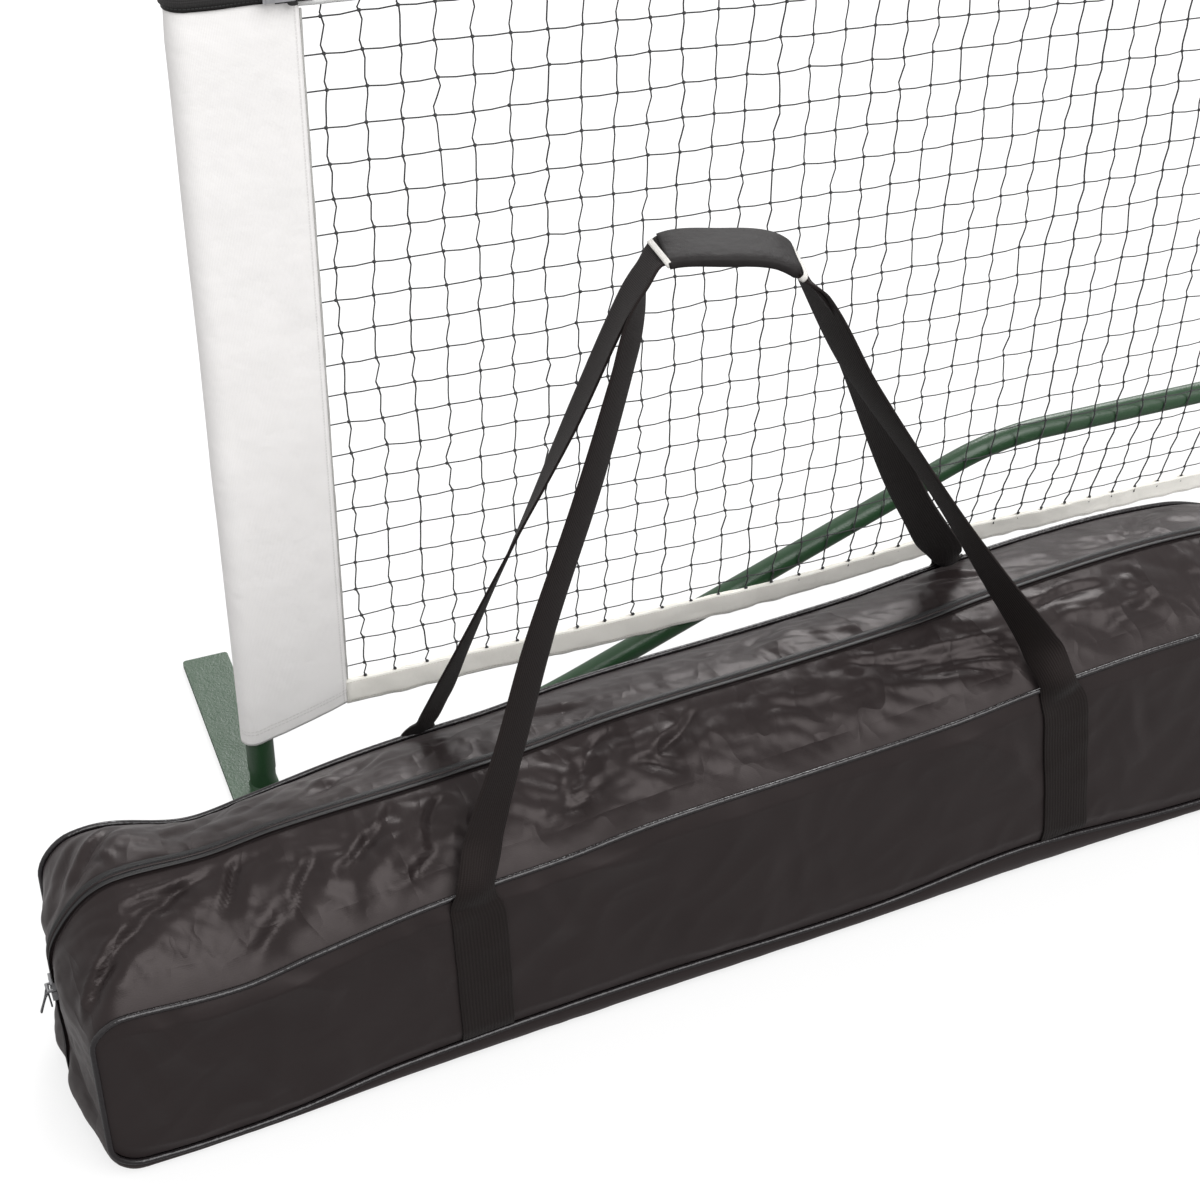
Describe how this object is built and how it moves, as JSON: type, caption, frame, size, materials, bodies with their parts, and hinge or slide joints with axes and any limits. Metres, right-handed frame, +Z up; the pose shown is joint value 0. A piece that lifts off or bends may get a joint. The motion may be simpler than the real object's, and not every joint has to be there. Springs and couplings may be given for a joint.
{
  "type": "portable court net with carry bag",
  "caption": "Free-standing net on a plug-together steel frame with flat feet, an arched ground bar, slip-over side sleeves and a zipped carry bag.",
  "frame": {"origin": "on the floor at the middle of the centre foot's underside, under the middle of the net", "axes": "+X along the net towards the post that the bag doesn't stand by, +Y to the back, +Z up"},
  "size_m": [7.0057, 0.6728, 0.9172],
  "materials": {
    "frame_paint": "satin dark green paint",
    "cap_plastic": "matt black polyethylene",
    "zinc_steel": "bright zinc plate",
    "zip_metal": "gunmetal plate",
    "netting": "knotted black cord",
    "edge_cord": "braided cord",
    "headline": "braided cord",
    "top_tape": "folded white vinyl-coated tape",
    "bottom_tape": "woven cream tape",
    "sleeve_cloth": "white coated polyester",
    "corner_vinyl": "smooth black vinyl",
    "strap_webbing": "woven black webbing",
    "buckle_plastic": "black nylon",
    "bag_cloth": "black woven polyester",
    "piping": "glossy black piping",
    "zip_tape": "black zip tape and nylon coil",
    "bag_webbing": "ribbed black webbing",
    "grip_cloth": "padded black wrap"
  },
  "bodies": {
    "frame": {"base_plate_left": "frame_paint", "base_plate_right": "frame_paint", "base_plate_centre": "frame_paint", "post_stub_left": "frame_paint", "post_stub_right": "frame_paint", "rail_stub_left": "frame_paint", "rail_stub_right": "frame_paint", "post_left": "frame_paint", "post_right": "frame_paint", "bent_rail_left": "frame_paint", "bent_rail_right": "frame_paint", "mid_rail_left": "frame_paint", "mid_rail_right": "frame_paint", "inner_rail_left": "frame_paint", "inner_rail_right": "frame_paint", "centre_leg": "frame_paint", "centre_arms": "frame_paint", "centre_post": "frame_paint", "post_caps": "cap_plastic", "centre_cap": "cap_plastic", "button_spring_left": "zinc_steel", "button_spring_right": "zinc_steel", "button_spring_centre": "zinc_steel"},
    "net": {"net_mesh": "netting", "side_cords": "edge_cord", "top_tape": "top_tape", "headline_cord": "headline", "bottom_tape": "bottom_tape", "sleeve_left": "sleeve_cloth", "sleeve_right": "sleeve_cloth", "corner_left": "corner_vinyl", "corner_right": "corner_vinyl", "tension_strap_left": "strap_webbing", "tension_strap_right": "strap_webbing", "buckle_left": "buckle_plastic", "buckle_right": "buckle_plastic", "buckle_pins": "zinc_steel", "centre_pocket": "sleeve_cloth"},
    "button_left": {"button_left": "zinc_steel"},
    "button_right": {"button_right": "zinc_steel"},
    "button_centre": {"button_centre": "zinc_steel"},
    "lever_left": {"buckle_lever_left": "zinc_steel"},
    "lever_right": {"buckle_lever_right": "zinc_steel"},
    "bag": {"bag_front_panel": "bag_cloth", "bag_back_panel": "bag_cloth", "bag_gusset": "bag_cloth", "bag_piping": "piping", "zip_tape": "zip_tape", "webbing_front": "bag_webbing", "webbing_back": "bag_webbing", "grip_wrap": "grip_cloth"},
    "slider_upper": {"zip_slider_upper": "zip_metal"},
    "slider_lower": {"zip_slider_lower": "zip_metal"},
    "pull_upper": {"zip_pull_upper": "zip_metal"},
    "pull_lower": {"zip_pull_lower": "zip_metal"}
  },
  "joints": [
    {"name": "net_lift", "type": "slide", "parent": "frame", "child": "net", "axis": [0, 0, 1], "range_m": [0, 0.85]},
    {"name": "button_left_press", "type": "slide", "parent": "frame", "child": "button_left", "axis": [0, -1, 0], "range_m": [0, 0.005], "stiffness_N_per_m": 900, "springref_m": -0.004, "deforming": ["button_spring_left"]},
    {"name": "button_right_press", "type": "slide", "parent": "frame", "child": "button_right", "axis": [0, -1, 0], "range_m": [0, 0.005], "stiffness_N_per_m": 900, "springref_m": -0.004, "deforming": ["button_spring_right"]},
    {"name": "button_centre_press", "type": "slide", "parent": "frame", "child": "button_centre", "axis": [0, -1, 0], "range_m": [0, 0.005], "stiffness_N_per_m": 900, "springref_m": -0.004, "deforming": ["button_spring_centre"]},
    {"name": "lever_left_open", "type": "hinge", "parent": "net", "child": "lever_left", "pos_m": [-3.2668, -0.0252, 0.8857], "axis": [0, 0, 1], "range_deg": [0, 100]},
    {"name": "lever_right_open", "type": "hinge", "parent": "net", "child": "lever_right", "pos_m": [3.2668, -0.0252, 0.8857], "axis": [0, 0, -1], "range_deg": [0, 100]},
    {"name": "bag_lift", "type": "slide", "parent": "frame", "child": "bag", "axis": [0, 0, 1], "range_m": [0, 0.6]},
    {"name": "slider_upper_run", "type": "slide", "parent": "bag", "child": "slider_upper", "axis": [0, 0, 1], "range_m": [0, 0.012]},
    {"name": "slider_lower_run", "type": "slide", "parent": "bag", "child": "slider_lower", "axis": [0, 0, -1], "range_m": [0, 0.1]},
    {"name": "pull_upper_swing", "type": "hinge", "parent": "slider_upper", "child": "pull_upper", "pos_m": [-3.61483, -0.34585, 0.1535], "axis": [-0.0262, 0.9997, 0], "range_deg": [0, 150]},
    {"name": "pull_lower_swing", "type": "hinge", "parent": "slider_lower", "child": "pull_lower", "pos_m": [-3.61511, -0.33525, 0.1425], "axis": [-0.0262, 0.9997, 0], "range_deg": [0, 150]}
  ]
}
